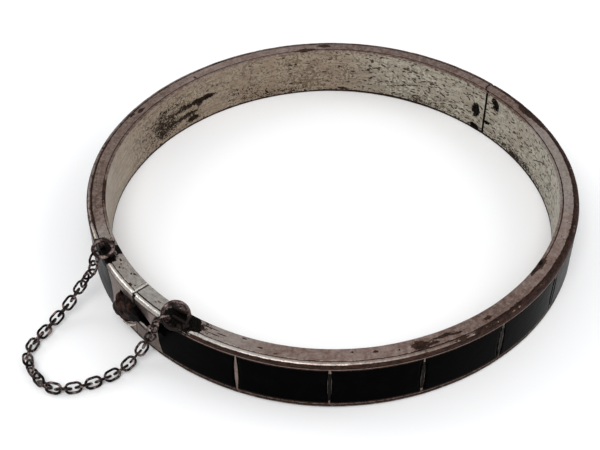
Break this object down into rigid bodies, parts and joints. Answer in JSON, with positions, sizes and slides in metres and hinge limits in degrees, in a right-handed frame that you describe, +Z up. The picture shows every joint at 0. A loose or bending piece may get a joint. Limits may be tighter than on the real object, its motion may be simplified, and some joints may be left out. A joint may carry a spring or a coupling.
{
  "type": "hinged bangle",
  "caption": "Hinged oval silver bangle with a flush row of black stones, a thumb-press clasp and a safety chain.",
  "frame": {"origin": "the middle of the wrist opening, on the surface that the bangle rests on", "axes": "+X towards the hinge, -X to the clasp, +Y towards the half that carries the thumb piece, +Z up through the wrist opening"},
  "size_m": [0.0754, 0.0618, 0.0095],
  "materials": {
    "band_silver": "worn silver, satin, with brown tarnish in its corners and along its edges",
    "pin_silver": "plain dull silver",
    "dark_silver": "blackened silver, dark brown tarnish",
    "black_stone": "polished black stone, ground flush"
  },
  "bodies": {
    "bangle": {"front_band": "band_silver", "back_band": "band_silver", "hinge_pin": "pin_silver", "jump_ring_left": "dark_silver", "jump_ring_right": "dark_silver", "safety_chain": "dark_silver", "front_stone_1": "black_stone", "front_stone_2": "black_stone", "front_stone_3": "black_stone", "front_stone_4": "black_stone", "front_stone_5": "black_stone", "front_stone_6": "black_stone", "front_stone_7": "black_stone", "front_stone_8": "black_stone", "back_stone_1": "black_stone", "back_stone_2": "black_stone", "back_stone_3": "black_stone", "back_stone_4": "black_stone", "back_stone_5": "black_stone", "back_stone_6": "black_stone", "back_stone_7": "black_stone", "back_stone_8": "black_stone"},
    "thumb": {"thumb_piece": "dark_silver"}
  },
  "joints": [
    {"name": "thumb_press", "type": "hinge", "parent": "bangle", "child": "thumb", "pos_m": [-0.02938, -0.00525, 0.00365], "axis": [0, 0, -1], "range_deg": [0, 3], "stiffness_Nm_per_rad": 0.02, "springref_deg": -2.86}
  ]
}
